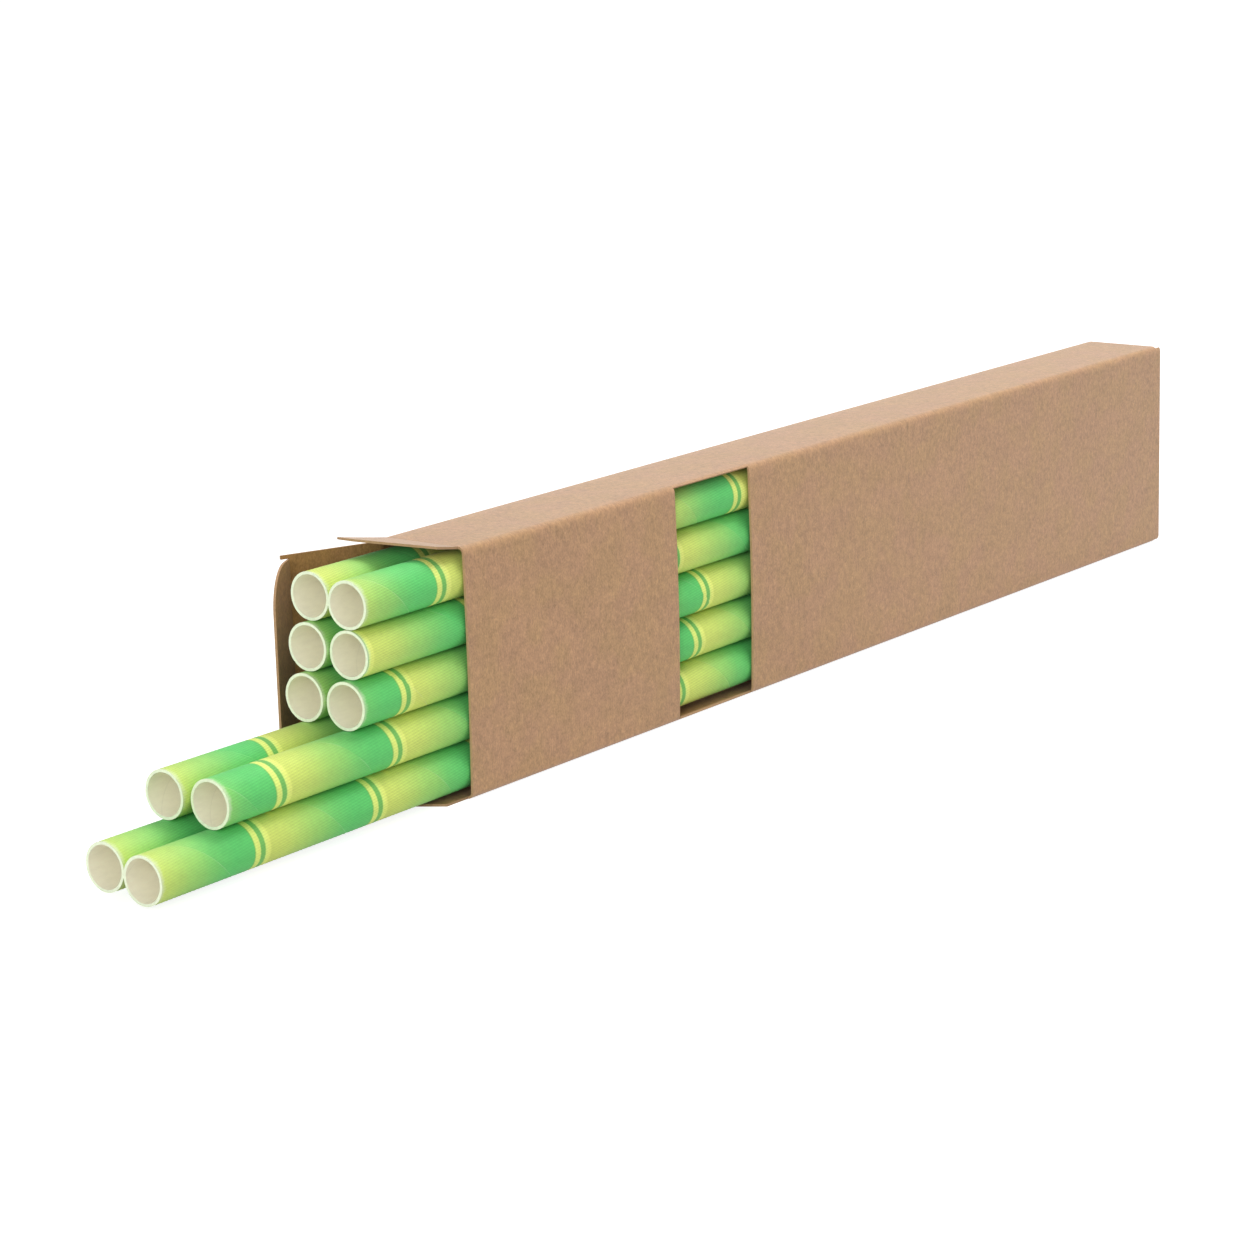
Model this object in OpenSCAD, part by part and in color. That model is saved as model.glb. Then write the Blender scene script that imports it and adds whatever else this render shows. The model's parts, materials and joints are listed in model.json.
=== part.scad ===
// Kraft tuck-end carton, open at one end, with a window in its front panel and
// ten printed paper drinking straws lying in two columns of five.
// Millimetres. The carton lies along X with its mouth towards -X and its front
// panel towards -Y. The origin is the middle of the bottom panel's outer face.

/* [Straws] */
// Outer diameter of a straw
straw_d = 8; // [6:0.5:12]
// Wound paper wall of a straw
straw_wall = 0.55; // [0.3:0.05:0.9]
// Length of a straw
straw_len = 230; // [190:1:260]
// Air between one straw and the next, and beside the card
straw_gap = 0.1; // [0.05:0.05:0.5]
// Free height over the five rows of straws
head_room = 0.9; // [0.3:0.1:3]

/* [Front straws, length standing out of the mouth] */
// Front straw of the bottom row
front_1_out = 71.5; // [30:0.5:100]
// Front straw of the second row
front_2_out = 56.5; // [30:0.5:100]
// Front straw of the third row
front_3_out = 25; // [15:0.5:100]
// Front straw of the fourth row
front_4_out = 23.7; // [15:0.1:100]
// Front straw of the top row
front_5_out = 23.6; // [15:0.1:100]

/* [Rear straws, length standing out of the mouth] */
// Rear straw of the bottom row
rear_1_out = 71.3; // [30:0.1:100]
// Rear straw of the second row
rear_2_out = 58; // [30:0.5:100]
// Rear straw of the third row
rear_3_out = 25.7; // [15:0.1:100]
// Rear straw of the fourth row
rear_4_out = 24.4; // [15:0.1:100]
// Rear straw of the top row
rear_5_out = 23.3; // [15:0.1:100]

/* [Carton] */
// Thickness of the card
card_t = 0.4; // [0.3:0.05:0.6]
// Outer radius of the soft folds along the carton
fold_r = 1.1; // [0.8:0.1:1.6]
// Length of the carton beyond the length of a straw
end_room = 3; // [2.5:0.5:12]
// Width of the glued seam strip on the inside of the bottom panel
seam_w = 11; // [6:0.5:12]
// Length over which the ends of the seam strip taper
seam_taper = 6; // [2:0.5:12]

/* [Window] */
// Distance from the mouth to the window
window_x = 57.6; // [20:0.5:150]
// Length of the window along the carton
window_len = 22.6; // [10:0.5:60]

/* [Closing flaps] */
// How far the tuck fold lies outside the dust flap folds
tuck_offset = 0.8; // [0.6:0.1:2]
// How much shorter the closing panel is than the back panel, at each end
tuck_inset = 0.6; // [0.5:0.1:3]
// Length of the lock ears at the closing panel's corners, past the tab's fold
ear_len = 1.5; // [0.5:0.1:2]
// Length of the tuck tab
tab_len = 9.5; // [6:0.5:12]
// Radius of the tuck tab's two outer corners
tab_corner_r = 7; // [2:0.5:9]
// Opening angle of the closing panel, from in line with the back panel
tuck_angle = 22; // [20:1:60]
// Bend of the tuck tab out of the closing panel's plane
tab_angle = 47; // [20:1:50]

/* [Dust flaps] */
// Length of a dust flap at its rear edge
dust_len = 12.5; // [9:0.5:15]
// Length of a dust flap at its front edge
dust_front_len = 5.2; // [2:0.1:8]
// Width of a dust flap's outer edge
dust_tip_w = 3.3; // [2:0.1:6]
// Distance of a dust flap from the front and back panels' faces
dust_inset = 1.1; // [1:0.1:2]
// Angle of the raised top dust flap above the top panel
top_dust_angle = 10; // [3:1:60]

/* [Hidden] */
$fn = 64;
kraft = "#b8916b";
kraft_inside = "#a67f58";
straw_green = "#7cc850";
rows = 5;
eps = 0.01;

// Gap left at each hinged fold
fold_gap = 0.1;
// Play between the closed end's sheets
sheet_gap = 0.1;

row_pitch = straw_d + straw_gap / 2;
column_pitch = straw_d + straw_gap;
floor_z = 2 * card_t;
first_z = floor_z + straw_gap / 2 + straw_d / 2;
front_y = card_t + straw_gap + straw_d / 2;
rear_y = front_y + column_pitch;

carton_w = rear_y + straw_d / 2 + straw_gap + card_t;
carton_h = first_z + (rows - 1) * row_pitch + straw_d / 2 + head_room + card_t;
carton_l = straw_len + end_room;

// The front column lies low at the mouth and climbs along the carton.
// The rear column climbs half as much towards the mouth.
front_slope = (head_room - straw_gap) / carton_l;
rear_slope = front_slope / 2;

front_out = [front_1_out, front_2_out, front_3_out, front_4_out, front_5_out];
rear_out = [rear_1_out, rear_2_out, rear_3_out, rear_4_out, rear_5_out];

fold_in_r = fold_r - card_t;
closing_len = carton_w - card_t - sheet_gap;
// The back panel's lower fold lies on the bottom panel, one card higher than the other folds
closing_z = card_t + tuck_inset;
closing_h = carton_h - tuck_inset - closing_z;
tab_root_inset = 0.75;
ear_w = tab_root_inset - fold_gap;

// The dust flaps of the closed end lie behind the closing panel
dust_x = carton_l - card_t - sheet_gap;
dust_fold_x = dust_x - fold_r;

// Everything is drawn from the front lower corner of the mouth, then moved to the origin
module place() {
    translate([-carton_l / 2, -carton_w / 2, 0]) children();
}

// A section in the YZ plane, extruded along X
module along_x(x0, x1) {
    translate([x0, 0, 0]) rotate([90, 0, 90]) linear_extrude(x1 - x0) children();
}

// Quarter ring of card, in the quadrant named by the signs
module fold_ring(sign_a, sign_b) {
    intersection() {
        difference() {
            circle(r = fold_r);
            circle(r = fold_in_r);
        }
        translate([sign_a < 0 ? -fold_r : 0, sign_b < 0 ? -fold_r : 0]) square(fold_r);
    }
}

module front_panel_section() {
    translate([0, fold_r]) square([card_t, carton_h - 2 * fold_r]);
}

module back_panel_section() {
    translate([carton_w - card_t, card_t + fold_r]) square([card_t, carton_h - card_t - 2 * fold_r]);
}

// The four panels and their folds, with the loose edge of the bottom panel at the rear
module panels_section() {
    front_panel_section();
    back_panel_section();
    translate([fold_r, 0]) square([carton_w - fold_r - card_t / 2, card_t]);
    translate([fold_r, carton_h - card_t]) square([carton_w - 2 * fold_r, card_t]);
    translate([fold_r, fold_r]) fold_ring(-1, -1);
    translate([fold_r, carton_h - fold_r]) fold_ring(-1, 1);
    translate([carton_w - fold_r, carton_h - fold_r]) fold_ring(1, 1);
    translate([carton_w - fold_r, card_t + fold_r]) fold_ring(1, -1);
}

// Strip that folds in from the back panel and is glued to the bottom panel
module seam_strip() {
    root_y = carton_w - fold_r;
    translate([0, 0, card_t]) linear_extrude(card_t)
        polygon([[0, root_y], [seam_taper, root_y - seam_w],
                 [dust_fold_x - seam_taper, root_y - seam_w], [dust_fold_x, root_y]]);
}

// The window is cut along the middle of the two front folds
module window_cut() {
    reach = fold_r + 1;
    along_x(window_x, window_x + window_len)
        polygon([[fold_r, fold_r], [fold_r, carton_h - fold_r],
                 [fold_r - reach, carton_h - fold_r + reach], [fold_r - reach, fold_r - reach]]);
}

// Dust flap outline: X out from its fold, Y from the front panel to the back panel
module dust_outline() {
    rear = carton_w - dust_inset;
    polygon([[0, dust_inset], [dust_front_len, dust_inset], [dust_len, rear - dust_tip_w],
             [dust_len, rear], [0, rear]]);
}

// Tuck tab outline: X out from its fold, Y along the fold, with two rounded corners
module tab_outline() {
    low = tab_root_inset;
    high = closing_h - tab_root_inset;
    square_len = tab_len - tab_corner_r;
    translate([0, low]) square([square_len, high - low]);
    translate([square_len - eps, low + tab_corner_r])
        square([tab_corner_r + eps, high - low - 2 * tab_corner_r]);
    for (y = [low + tab_corner_r, high - tab_corner_r])
        translate([square_len, y]) intersection() {
            circle(r = tab_corner_r);
            translate([-eps, -tab_corner_r]) square([tab_corner_r + eps, 2 * tab_corner_r]);
        }
}

// Top panel of the closed end folded down, drawn in XZ and extruded along Y
module closed_dust_fold() {
    translate([dust_fold_x, carton_w - dust_inset, carton_h - fold_r]) rotate([90, 0, 0])
        linear_extrude(carton_w - 2 * dust_inset) fold_ring(1, 1);
}

module closed_dust_flap() {
    closed_dust_fold();
    translate([dust_x, 0, carton_h - fold_r + eps]) rotate([0, 90, 0]) mirror([0, 0, 1])
        linear_extrude(card_t) dust_outline();
}

// Closing panel of the closed end with its tab tucked in behind the front panel
module closed_tuck() {
    tab_y = card_t + sheet_gap;
    translate([0, 0, closing_z]) {
        translate([carton_l - fold_r, carton_w - fold_r, 0])
            linear_extrude(closing_h) fold_ring(1, 1);
        translate([carton_l - card_t, tab_y + fold_r, 0])
            cube([card_t, carton_w - 2 * fold_r - tab_y, closing_h]);
        translate([carton_l - fold_r, tab_y + fold_r, 0])
            linear_extrude(closing_h) fold_ring(1, -1);
        translate([carton_l - fold_r, tab_y + card_t, 0]) rotate([90, 0, 0])
            linear_extrude(card_t) mirror([1, 0]) translate([-eps, 0]) tab_outline();
    }
}

// Front and back panels reach past the dust flaps to the closed end
module panel_ends() {
    edge = fold_r * 0.3;
    translate([dust_fold_x, 0, edge]) cube([carton_l - dust_fold_x, card_t, carton_h - 2 * edge]);
    translate([dust_fold_x, carton_w - card_t, closing_z])
        cube([carton_l - fold_r - dust_fold_x, card_t, closing_h]);
    translate([-tuck_offset, carton_w - card_t, closing_z]) cube([tuck_offset + eps, card_t, closing_h]);
}

module carton() {
    color(kraft) place() difference() {
        union() {
            along_x(0, dust_fold_x) panels_section();
            seam_strip();
            closed_dust_flap();
            translate([0, 0, carton_h]) mirror([0, 0, 1]) closed_dust_flap();
            closed_tuck();
            panel_ends();
        }
        window_cut();
    }
}

// A flap is drawn straight out along -X from its fold, with its outer face at height 0
module sheet_out() {
    translate([0, 0, -card_t]) mirror([1, 0, 0]) linear_extrude(card_t) children();
}

module top_dust_flap() {
    color(kraft) place() translate([-fold_gap, 0, carton_h]) rotate([0, top_dust_angle, 0])
        sheet_out() dust_outline();
}

module bottom_dust_flap() {
    color(kraft_inside) place() translate([-fold_gap, 0, 0]) mirror([0, 0, 1])
        sheet_out() dust_outline();
}

// Puts a sheet drawn in the tuck flap's own plane on the open back panel
module tuck_plane() {
    translate([-tuck_offset - fold_gap, carton_w, closing_z]) rotate([0, 0, -tuck_angle])
        rotate([90, 0, 0]) mirror([0, 0, 1]) children();
}

// Closing panel, with an ear beside each end of the tab that stays flat when the tab folds
module tuck_flap() {
    panel_len = closing_len - card_t / 2 - fold_gap;
    color(kraft_inside) place() tuck_plane() sheet_out() {
        square([panel_len, closing_h]);
        for (y = [0, closing_h - ear_w]) translate([0, y]) square([closing_len + ear_len, ear_w]);
    }
}

module tuck_tab() {
    root_h = closing_h - 2 * tab_root_inset;
    color(kraft_inside) place() tuck_plane() translate([-closing_len, 0, -card_t / 2])
        rotate([0, -tab_angle, 0]) {
            translate([0, 0, card_t / 2]) sheet_out() tab_outline();
            translate([0, tab_root_inset, 0]) rotate([-90, 0, 0]) cylinder(h = root_h, d = card_t);
        }
}

// A straw starts at the mouth's plane plus its drawn-out length and follows its column's slope
module straw(y, row, out, slope, pivot_x) {
    tilt = atan(slope);
    z = first_z + (row - 1) * row_pitch - slope * (pivot_x + out);
    color(straw_green) place() translate([-out, y, z]) rotate([0, 90 - tilt, 0]) difference() {
        cylinder(h = straw_len, d = straw_d);
        translate([0, 0, -1]) cylinder(h = straw_len + 2, d = straw_d - 2 * straw_wall);
    }
}

module straw_front(row) {
    straw(front_y, row, front_out[row - 1], front_slope, 0);
}

module straw_rear(row) {
    straw(rear_y, row, rear_out[row - 1], -rear_slope, carton_l);
}

carton();
tuck_flap();
tuck_tab();
top_dust_flap();
bottom_dust_flap();
straw_front(1);  // straw_front_1
straw_front(2);  // straw_front_2
straw_front(3);  // straw_front_3
straw_front(4);  // straw_front_4
straw_front(5);  // straw_front_5
straw_rear(1);  // straw_rear_1
straw_rear(2);  // straw_rear_2
straw_rear(3);  // straw_rear_3
straw_rear(4);  // straw_rear_4
straw_rear(5);  // straw_rear_5
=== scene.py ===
"""Open kraft carton with a window and ten wound paper straws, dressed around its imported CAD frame."""
import json
import math

import bmesh
import bpy
from mathutils import Matrix, Vector


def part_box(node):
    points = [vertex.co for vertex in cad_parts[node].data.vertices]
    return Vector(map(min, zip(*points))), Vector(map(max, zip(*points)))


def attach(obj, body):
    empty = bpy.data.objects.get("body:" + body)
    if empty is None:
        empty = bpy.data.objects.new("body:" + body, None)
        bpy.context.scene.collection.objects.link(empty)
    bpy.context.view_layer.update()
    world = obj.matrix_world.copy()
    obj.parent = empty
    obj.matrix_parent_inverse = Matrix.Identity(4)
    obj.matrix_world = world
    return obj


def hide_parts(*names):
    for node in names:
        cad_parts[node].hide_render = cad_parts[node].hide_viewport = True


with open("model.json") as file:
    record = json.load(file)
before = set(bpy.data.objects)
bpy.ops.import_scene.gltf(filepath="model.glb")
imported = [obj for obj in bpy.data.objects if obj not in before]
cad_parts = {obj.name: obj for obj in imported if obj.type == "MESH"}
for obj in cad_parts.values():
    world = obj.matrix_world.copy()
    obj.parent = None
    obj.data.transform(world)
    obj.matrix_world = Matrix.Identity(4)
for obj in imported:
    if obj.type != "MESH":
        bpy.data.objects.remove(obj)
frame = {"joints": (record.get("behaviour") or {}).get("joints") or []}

bl_info = {
    "name": "Windowed straw carton",
    "version": (1, 0, 0),
    "blender": (4, 5, 0),
    "location": "View3D > Sidebar > Straw carton",
    "description": "Folds the kraft carton, rolls its printed paper straws and sets the studio",
    "category": "Object",
}

MM = 0.001
TURN = 2 * math.pi
QUARTER = math.pi / 2
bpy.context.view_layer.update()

# Sizes that the frame already holds
LOW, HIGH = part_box("carton")
FRONT_Y, BACK_Y, TOP_Z = LOW[1], HIGH[1], HIGH[2]
CLOSED_X, MOUTH_X = HIGH[0], -HIGH[0]
BACK_END_X = LOW[0]
LENGTH = CLOSED_X - MOUTH_X
WIDTH = BACK_Y - FRONT_Y
FLAP_LOW, FLAP_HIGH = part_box("bottom_dust_flap")
CARD = FLAP_HIGH[2] - FLAP_LOW[2]
DUST_INSET = FLAP_LOW[1] - FRONT_Y
DUST_LENGTH = FLAP_HIGH[0] - FLAP_LOW[0]
HINGES = {joint["name"]: Vector(joint["pos_m"]) for joint in frame["joints"]}

# Widths over which the wear and painted highlight beside a fold fade out, and how far they are full beside
# the mouth's folds
WEAR_AND_HIGHLIGHT_FADE = 0.6 * MM
FLAP_WEAR_AND_HIGHLIGHT_FADE = 0.8 * MM
MOUTH_WEAR_AND_HIGHLIGHT_FADE = 0.9 * MM
MOUTH_WEAR_AND_HIGHLIGHT = 0.15 * MM

# The middle part of a noise texture's range, in which nearly all of it lies
NOISE_LOW, NOISE_HIGH = 0.3, 0.7


def srgb(red, green, blue):
    """Linear colour of a screen colour given from 0 to 255."""
    return tuple((v / 255 / 12.92) if v <= 10 else ((v / 255 + 0.055) / 1.055) ** 2.4
                 for v in (red, green, blue))


def length(name, text, default, low, high):
    """A size that a user may change, given in millimetres and kept in metres."""
    return bpy.props.FloatProperty(name=name, description=text, default=default * MM, min=low * MM,
                                   max=high * MM, unit="LENGTH", precision=5)


def colour(name, text, red, green, blue):
    """A colour that a user may change, its default given as a screen colour."""
    return bpy.props.FloatVectorProperty(name=name, description=text, default=srgb(red, green, blue),
                                         min=0, max=1, size=3, subtype="COLOR")


def plain(name, text, default, low, high):
    """A plain number that a user may change."""
    return bpy.props.FloatProperty(name=name, description=text, default=default, min=low, max=high,
                                   precision=3)


def whole(name, text, default, low, high):
    """A whole number that a user may change."""
    return bpy.props.IntProperty(name=name, description=text, default=default, min=low, max=high)


class StrawCartonCard(bpy.types.PropertyGroup):
    """Sizes of the folded card"""
    fold_radius: length("Fold radius", "Outer radius of every soft fold", 1.1, 0.6, 2)
    end_gap: length("End gap", "Play between the sheets of the closed end", 0.1, 0.02, 0.5)
    window_start: length("Window start", "From the mouth to the window", 57.6, 10, 150)
    window_length: length("Window length", "Length of the window along the carton", 22.6, 5, 60)
    seam_width: length("Seam width", "Width of the strip glued to the bottom panel", 11, 5, 14)
    seam_taper: length("Seam taper", "Length over which the ends of the seam taper", 6, 1, 12)
    tuck_inset: length("Tuck inset", "How much shorter the tuck flap is at each end", 0.6, 0.3, 1)
    tab_inset: length("Tab inset", "Step between the tuck flap and its tab", 0.75, 0.3, 2)
    ear_length: length("Ear length", "How far the lock ears reach past the tab's fold", 1.5, 0.5, 3)
    tab_length: length("Tab length", "Length of the tuck tab", 9.5, 5, 12)
    tab_radius: length("Tab corner", "Radius of the tuck tab's two corners", 7, 2, 9)
    dust_front: length("Dust flap front", "Length of a dust flap at its front edge", 5.2, 2, 9)
    dust_tip: length("Dust flap tip", "Width of a dust flap's outer edge", 3.3, 1, 8)
    front_bow: length("Front bow", "How far the front panel bows outwards", 0.38, 0, 0.5)
    top_bow: length("Top bow", "How far the top panel bows upwards", 0.12, 0, 0.4)
    flap_curl: length("Flap curl", "How far a flap curls over its length", 0.25, 0, 1)


class StrawCartonStraws(bpy.types.PropertyGroup):
    """Sizes of the wound paper straws and of their print"""
    diameter: length("Diameter", "Outer diameter of a straw", 8, 5, 12)
    wall: length("Wall", "Thickness of the wound paper", 0.48, 0.3, 1)
    seam_pitch: length("Seam pitch", "Advance of the outer strip in one turn", 26.2, 10, 60)
    bore_seam_pitch: length("Bore seam pitch", "Advance of the inner strip in one turn", 21, 10, 60)
    seam_depth: length("Seam depth", "Depth of the joint between two turns of the strip", 0.04, 0, 0.2)
    seam_width: length("Seam width", "Width of the joint between two turns", 0.16, 0.05, 0.6)
    ring_pitch: length("Ring pitch", "Distance from one printed node to the next", 27.25, 10, 60)
    ring_slip: length("Ring slip", "Step of a printed ring at the joint of the strip", 0.2, 0, 3)
    shade_slip: length("Shade slip", "Step of the shading at the joint of the strip", 1.2, 0, 5)
    rib_pitch: length("Rib pitch", "Distance between the fine printed ribs", 0.41, 0.2, 2)
    cut_roughness: length("Cut roughness", "Unevenness of the cut ends", 0.09, 0, 0.5)
    fibre_length: length("Fibre length", "Length of the loose fibres on a cut end", 0.28, 0.05, 1)
    columns: whole("Columns", "Faces around a straw", 56, 16, 96)
    rows: whole("Rows", "Faces along a straw", 230, 40, 400)
    bore_rows: whole("Bore rows", "Faces along a bore", 24, 2, 99)


class StrawCartonColours(bpy.types.PropertyGroup):
    """Colours of the card and the print"""
    kraft: colour("Kraft", "Outer face of the card", 175, 136, 98)
    # Painted shade: the same kraft as outside, darker and yellower to stand in for the shade and the straws'
    # green bounce inside the carton
    kraft_inside_shaded: colour("Kraft inside", "Inner face of the card", 156, 117, 74)
    # Partly painted shade: the cut card is darkened part way towards the shade on the mouth's edges
    kraft_edge: colour("Cut card", "Cut edges of the card", 172, 138, 104)
    leaf: colour("Leaf green", "Deep green before a node", 95, 198, 107)
    shoot: colour("Shoot green", "Yellow green after a node", 210, 221, 110)
    node_yellow: colour("Node yellow", "Yellow stripe of a node", 220, 239, 128)
    node_green: colour("Node green", "Green line of a node", 118, 186, 94)
    cut_paper: colour("Cut paper", "Cut end of a straw", 228, 238, 208)
    inner_paper: colour("Inner paper", "Bore of a straw", 255, 251, 228)


class StrawCartonStage(bpy.types.PropertyGroup):
    """Camera, lamps and floor"""
    camera_place: bpy.props.FloatVectorProperty(
        name="Camera place", description="Where the camera stands", size=3, unit="LENGTH",
        default=(-0.53544, -0.36059, 0.15941))
    camera_heading: bpy.props.FloatVectorProperty(
        name="Camera heading", description="Direction in which the camera looks", size=3,
        default=(0.773151, 0.590067, -0.232506))
    camera_up: bpy.props.FloatVectorProperty(
        name="Camera up", description="Direction that is up in the picture", size=3,
        default=(0.201675, 0.118835, 0.972217))
    lens: plain("Lens", "Focal length on a 36 mm sensor, in millimetres", 99.887, 20, 300)
    sky: plain("Sky", "Strength of the light from all round", 0.48, 0, 2)
    key: plain("Key lamp", "Power of the soft lamp above, in watts", 16.0, 0, 60)
    fill: plain("Fill lamp", "Power of the soft lamp that shines into the straws, in watts", 22.5, 0, 60)
    floor_size: length("Floor size", "Side of the square floor", 4000, 1000, 10000)


class Number:
    """A number in a node tree. Sums written on it add math nodes to its tree."""

    def __init__(self, socket):
        self.socket = socket

    def __add__(self, other):
        return maths("ADD", self, other)

    def __sub__(self, other):
        return maths("SUBTRACT", self, other)

    def __rsub__(self, other):
        return maths("SUBTRACT", other, self)

    def __mul__(self, other):
        return maths("MULTIPLY", self, other)

    def __truediv__(self, other):
        return maths("DIVIDE", self, other)

    __rmul__ = __mul__


def connect(value, socket):
    """Links a number or a socket into a socket, or sets that to a plain value."""
    if isinstance(value, Number):
        value = value.socket
    if isinstance(value, bpy.types.NodeSocket):
        socket.id_data.links.new(value, socket)
    else:
        socket.default_value = value


def add_node(tree, kind, inputs=None, **settings):
    """Adds a node, sets its options and fills its inputs, given by name or by number."""
    node = tree.nodes.new(kind)
    for key, value in settings.items():
        setattr(node, key, value)
    for key, value in (inputs or {}).items():
        connect(value, node.inputs[key])
    return node


def maths(operation, *terms):
    """One sum, of which at least one term is a number in a tree."""
    tree = next(term.socket.id_data for term in terms if isinstance(term, Number))
    return Number(add_node(tree, "ShaderNodeMath", dict(enumerate(terms)), operation=operation).outputs[0])


def sum_vectors(first, second):
    """A vector socket plus another vector."""
    return add_node(first.id_data, "ShaderNodeVectorMath", {0: first, 1: second}, operation="ADD").outputs[0]


def moved(start, direction, distance):
    """A place moved by a distance along a direction."""
    step = add_node(direction.id_data, "ShaderNodeVectorMath", {"Vector": direction, "Scale": distance},
                    operation="SCALE")
    return sum_vectors(start, step.outputs[0])


def vector(tree, x=0.0, y=0.0, z=0.0):
    """A vector made of three numbers."""
    return add_node(tree, "ShaderNodeCombineXYZ", {0: x, 1: y, 2: z}).outputs[0]


def remap(value, low, high, new_low, new_high):
    """Moves a number from one range to another and holds it there."""
    inputs = {"Value": value, "From Min": low, "From Max": high, "To Min": new_low, "To Max": new_high}
    return Number(add_node(value.socket.id_data, "ShaderNodeMapRange", inputs).outputs[0])


def noise(place, scale, detail=2.0, roughness=0.5, distortion=0.0):
    """A noise texture's number. The scale is in waves a metre; three scales stretch it along the axes."""
    tree = place.id_data
    if isinstance(scale, tuple):
        place = add_node(tree, "ShaderNodeMapping", {"Vector": place, "Scale": scale}).outputs[0]
        scale = 1.0
    inputs = {"Vector": place, "Scale": scale, "Detail": detail, "Roughness": roughness,
              "Distortion": distortion}
    return Number(add_node(tree, "ShaderNodeTexNoise", inputs).outputs[0])


def swing(field, low, high):
    """A noise texture's number, moved to another range."""
    return remap(field, NOISE_LOW, NOISE_HIGH, low, high)


def attribute(tree, name):
    """A number that is kept on the mesh."""
    return Number(add_node(tree, "ShaderNodeAttribute", attribute_name=name).outputs["Fac"])


def blend_colours(tree, factor, first, second, mode="MIX"):
    """Mixes two colours."""
    node = add_node(tree, "ShaderNodeMix", data_type="RGBA", blend_type=mode, clamp_factor=True)
    for value, socket in ((factor, node.inputs[0]), (first, node.inputs[6]), (second, node.inputs[7])):
        if isinstance(value, tuple):
            value = (*value, 1.0)
        connect(value, socket)
    return node.outputs[2]


def toned(tree, tint, tone):
    """A colour made darker or lighter by a number."""
    grey = add_node(tree, "ShaderNodeCombineColor", {0: tone, 1: tone, 2: tone}).outputs[0]
    return blend_colours(tree, 1.0, tint, grey, "MULTIPLY")


def tinted(tint, factors):
    """A plain colour with each channel times a factor."""
    return tuple(level * factor for level, factor in zip(tint, factors))


def ramp(tree, value, stops):
    """A colour ramp with stops of (place, colour with alpha)."""
    node = add_node(tree, "ShaderNodeValToRGB", {0: value})
    elements = node.color_ramp.elements
    while len(elements) > 1:
        elements.remove(elements[-1])
    for number, (place, tint) in enumerate(stops):
        element = elements[0] if number == 0 else elements.new(place)
        element.position = place
        element.color = tint
    return node.outputs


def new_material(name, roughness, specular, sheen=0.0):
    """A material, its tree, its principled shader and the place on the object."""
    material = bpy.data.materials.new(name)
    material.use_nodes = True
    tree = material.node_tree
    shader = tree.nodes["Principled BSDF"]
    shader.inputs["Roughness"].default_value = roughness
    shader.inputs["Specular IOR Level"].default_value = specular
    shader.inputs["Sheen Weight"].default_value = sheen
    shader.inputs["Sheen Roughness"].default_value = 0.45
    place = add_node(tree, "ShaderNodeTexCoord").outputs["Object"]
    return material, tree, shader, place


def bump(shader, height, distance, strength=1.0):
    """Feeds a height into the shader's normal."""
    inputs = {"Height": height, "Distance": distance, "Strength": strength}
    connect(add_node(shader.id_data, "ShaderNodeBump", inputs).outputs[0], shader.inputs["Normal"])


def kraft_material(name, base, sheen, specular):
    """Uncoated kraft card: cloudy pulp, short light fibres across the carton and dark specks."""
    material, tree, shader, place = new_material(name, 0.55, specular, sheen)
    clouds = noise(place, 120.0, 3.0, 0.6)
    pulp = noise(place, 950.0, 3.0, 0.65)
    fine = noise(place, (4200.0, 2400.0, 2400.0), 2.0, 0.6)
    grain = noise(place, (2700.0, 700.0, 620.0), 3.0, 0.7, 0.5)
    fibres = noise(place, (3600.0, 900.0, 760.0), 1.0, 0.5, 1.4)
    specks = add_node(tree, "ShaderNodeTexVoronoi", {"Vector": place, "Scale": 420.0, "Randomness": 1.0})
    tone = clouds * 0.2 + 0.9
    for field, strength in ((pulp, 0.13), (fine, 0.17), (grain, 0.12)):
        tone = tone + swing(field, -strength, strength)
    tone = tone + remap(fibres, 0.66, 0.76, 0.0, 0.13)
    tone = tone + remap(Number(specks.outputs["Distance"]), 0.04, 0.13, -0.14, 0.0)

    # The pulp's hue wanders between a warmer and a cooler brown, and its folds are painted pale: partly worn
    # fibre, partly a painted highlight
    tint = noise(sum_vectors(place, (0.3, 0.1, 0.2)), 150.0)
    warm, cool = tinted(base, (1.0, 1.01, 0.963)), tinted(base, (1.01, 0.985, 1.045))
    card = blend_colours(tree, remap(tint, 0.38, 0.62, 0.0, 1.0), warm, cool)
    card = toned(tree, card, tone)
    worn_and_highlight = attribute(tree, "crease") * swing(pulp, 0.08, 0.2)
    pale = tuple(min(1.0, 1.45 * level) for level in base)
    connect(blend_colours(tree, worn_and_highlight, card, pale), shader.inputs["Base Color"])
    bump(shader, grain * 0.7 + fine * 0.6, 0.05 * MM, 0.7)
    return material


def edge_material(name, base):
    """Cut edge of the card: torn fibres in thin layers."""
    material, tree, shader, place = new_material(name, 0.9, 0.25)
    layers = noise(place, 2400.0, 3.0, 0.7)
    connect(toned(tree, base, swing(layers, 0.82, 1.1)), shader.inputs["Base Color"])
    bump(shader, layers, 0.05 * MM)
    return material


def carton_materials(colours):
    """Outside, inside and cut edge of the card, made once and shared."""
    names = ("kraft outside", "kraft inside shaded", "kraft cut edge")
    if names[0] not in bpy.data.materials:
        kraft_material(names[0], tuple(colours.kraft), 0.3, 0.2)
        # The inside kraft is painted darker and yellower, as shade
        kraft_material(names[1], tuple(colours.kraft_inside_shaded), 0.08, 0.12)
        edge_material(names[2], tuple(colours.kraft_edge))
    return [bpy.data.materials[name] for name in names]


def add_object(name, content):
    """A new object in the scene."""
    obj = bpy.data.objects.new(name, content)
    bpy.context.scene.collection.objects.link(obj)
    return obj


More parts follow.
